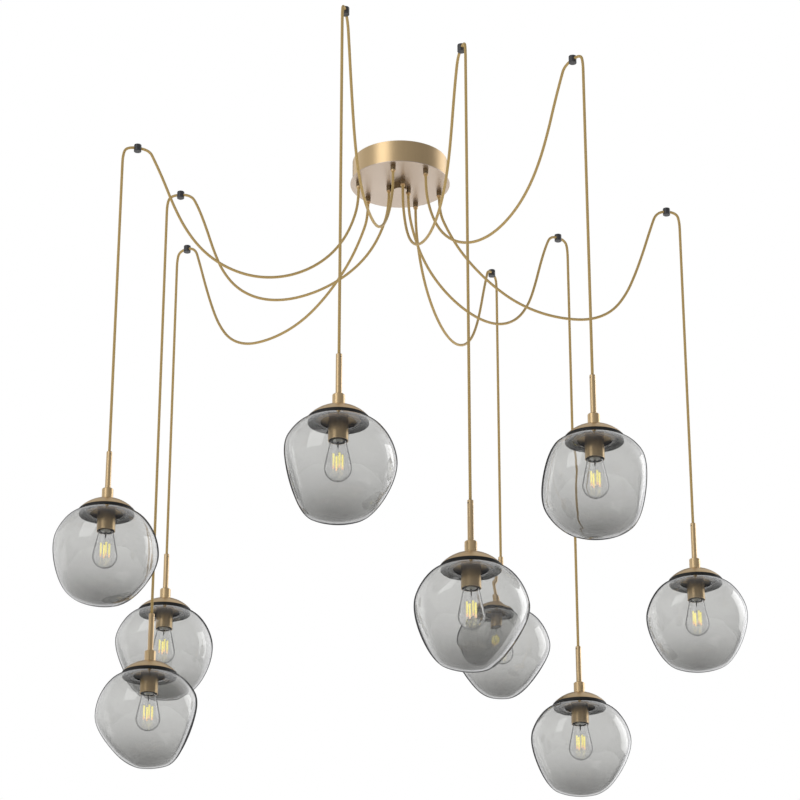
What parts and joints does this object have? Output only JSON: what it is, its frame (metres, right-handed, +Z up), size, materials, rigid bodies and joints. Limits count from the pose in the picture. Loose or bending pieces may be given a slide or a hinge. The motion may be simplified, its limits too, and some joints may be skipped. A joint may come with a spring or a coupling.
{
  "type": "cluster pendant",
  "caption": "Cluster pendant with a round brass canopy, fabric cords swagged through ceiling hooks and dented smoke-glass globe shades on brass stems.",
  "frame": {"origin": "middle of the canopy on the ceiling plane, at the middle of the bracket's slots", "axes": "+Z up into the ceiling, X across the picture to the right, Y away from the picture's viewpoint"},
  "size_m": [1.5691, 1.5795, 1.446],
  "materials": {
    "brushed_brass": "brushed",
    "satin_plate": "satin",
    "zinc_steel": "zinc plated",
    "dark_bronze": "dark satin",
    "black_paint": "satin black",
    "gold_fabric": "braided",
    "smoke_glass": "clear smoke",
    "clear_glass": "clear"
  },
  "bodies": {
    "canopy": {"canopy_drum": "brushed_brass", "canopy_plate": "satin_plate", "canopy_knob": "brushed_brass", "mounting_bracket": "zinc_steel", "cord_glands": "dark_bronze", "ceiling_hooks": "black_paint", "swag_cord_a": "gold_fabric", "swag_cord_b": "gold_fabric", "swag_cord_c": "gold_fabric", "swag_cord_d": "gold_fabric", "swag_cord_e": "gold_fabric", "swag_cord_f": "gold_fabric", "swag_cord_g": "gold_fabric", "swag_cord_h": "gold_fabric", "swag_cord_i": "gold_fabric"},
    "drop_a": {"drop_cord_a": "gold_fabric"},
    "lamp_a": {"cap_a": "brushed_brass", "socket_a": "brushed_brass", "shade_a": "smoke_glass", "bulb_a": "clear_glass"},
    "drop_b": {"drop_cord_b": "gold_fabric"},
    "lamp_b": {"cap_b": "brushed_brass", "socket_b": "brushed_brass", "shade_b": "smoke_glass", "bulb_b": "clear_glass"},
    "drop_c": {"drop_cord_c": "gold_fabric"},
    "lamp_c": {"cap_c": "brushed_brass", "socket_c": "brushed_brass", "shade_c": "smoke_glass", "bulb_c": "clear_glass"},
    "drop_d": {"drop_cord_d": "gold_fabric"},
    "lamp_d": {"cap_d": "brushed_brass", "socket_d": "brushed_brass", "shade_d": "smoke_glass", "bulb_d": "clear_glass"},
    "drop_e": {"drop_cord_e": "gold_fabric"},
    "lamp_e": {"cap_e": "brushed_brass", "socket_e": "brushed_brass", "shade_e": "smoke_glass", "bulb_e": "clear_glass"},
    "drop_f": {"drop_cord_f": "gold_fabric"},
    "lamp_f": {"cap_f": "brushed_brass", "socket_f": "brushed_brass", "shade_f": "smoke_glass", "bulb_f": "clear_glass"},
    "drop_g": {"drop_cord_g": "gold_fabric"},
    "lamp_g": {"cap_g": "brushed_brass", "socket_g": "brushed_brass", "shade_g": "smoke_glass", "bulb_g": "clear_glass"},
    "drop_h": {"drop_cord_h": "gold_fabric"},
    "lamp_h": {"cap_h": "brushed_brass", "socket_h": "brushed_brass", "shade_h": "smoke_glass", "bulb_h": "clear_glass"},
    "drop_i": {"drop_cord_i": "gold_fabric"},
    "lamp_i": {"cap_i": "brushed_brass", "socket_i": "brushed_brass", "shade_i": "smoke_glass", "bulb_i": "clear_glass"}
  },
  "joints": [
    {"name": "sway_a", "type": "hinge", "parent": "canopy", "child": "drop_a", "pos_m": [-0.6145, -0.08965, -0.0075], "axis": [-0.9895, -0.1444, 0], "range_deg": [-7, 7]},
    {"name": "turn_a", "type": "hinge", "parent": "drop_a", "child": "lamp_a", "pos_m": [-0.64814, -0.09455, -0.79085], "axis": [0, 0, 1], "range_deg": [-90, 90]},
    {"name": "sway_b", "type": "hinge", "parent": "canopy", "child": "drop_b", "pos_m": [-0.53122, 0.14632, -0.0075], "axis": [-0.9641, 0.2656, 0], "range_deg": [-7, 7]},
    {"name": "turn_b", "type": "hinge", "parent": "drop_b", "child": "lamp_b", "pos_m": [-0.564, 0.15535, -1.08585], "axis": [0, 0, 1], "range_deg": [-90, 90]},
    {"name": "sway_c", "type": "hinge", "parent": "canopy", "child": "drop_c", "pos_m": [-0.53627, 0.43893, -0.0075], "axis": [-0.7738, 0.6334, 0], "range_deg": [-7, 7]},
    {"name": "turn_c", "type": "hinge", "parent": "drop_c", "child": "lamp_c", "pos_m": [-0.56258, 0.46047, -0.82985], "axis": [0, 0, 1], "range_deg": [-90, 90]},
    {"name": "sway_d", "type": "hinge", "parent": "canopy", "child": "drop_d", "pos_m": [-0.11641, -0.69938, -0.0075], "axis": [-0.1642, -0.9864, 0], "range_deg": [-7, 7]},
    {"name": "turn_d", "type": "hinge", "parent": "drop_d", "child": "lamp_d", "pos_m": [-0.12199, -0.73292, -0.84085], "axis": [0, 0, 1], "range_deg": [-90, 90]},
    {"name": "sway_e", "type": "hinge", "parent": "canopy", "child": "drop_e", "pos_m": [0.13477, -0.54457, -0.0075], "axis": [0.2402, -0.9707, 0], "range_deg": [-7, 7]},
    {"name": "turn_e", "type": "hinge", "parent": "drop_e", "child": "lamp_e", "pos_m": [0.14294, -0.57758, -1.09585], "axis": [0, 0, 1], "range_deg": [-90, 90]},
    {"name": "sway_f", "type": "hinge", "parent": "canopy", "child": "drop_f", "pos_m": [0.38134, -0.49518, -0.0075], "axis": [0.6101, -0.7923, 0], "range_deg": [-7, 7]},
    {"name": "turn_f", "type": "hinge", "parent": "drop_f", "child": "lamp_f", "pos_m": [0.40209, -0.52212, -0.79385], "axis": [0, 0, 1], "range_deg": [-90, 90]},
    {"name": "sway_g", "type": "hinge", "parent": "canopy", "child": "drop_g", "pos_m": [0.23476, 0.57815, -0.0075], "axis": [0.3762, 0.9265, 0], "range_deg": [-7, 7]},
    {"name": "turn_g", "type": "hinge", "parent": "drop_g", "child": "lamp_g", "pos_m": [0.24756, 0.60966, -0.78285], "axis": [0, 0, 1], "range_deg": [-90, 90]},
    {"name": "sway_h", "type": "hinge", "parent": "canopy", "child": "drop_h", "pos_m": [0.39408, 0.37791, -0.0075], "axis": [0.7218, 0.6921, 0], "range_deg": [-7, 7]},
    {"name": "turn_h", "type": "hinge", "parent": "drop_h", "child": "lamp_h", "pos_m": [0.41862, 0.40144, -1.08285], "axis": [0, 0, 1], "range_deg": [-90, 90]},
    {"name": "sway_i", "type": "hinge", "parent": "canopy", "child": "drop_i", "pos_m": [0.65256, 0.23622, -0.0075], "axis": [0.9403, 0.3404, 0], "range_deg": [-7, 7]},
    {"name": "turn_i", "type": "hinge", "parent": "drop_i", "child": "lamp_i", "pos_m": [0.68453, 0.2478, -0.83185], "axis": [0, 0, 1], "range_deg": [-90, 90]}
  ]
}
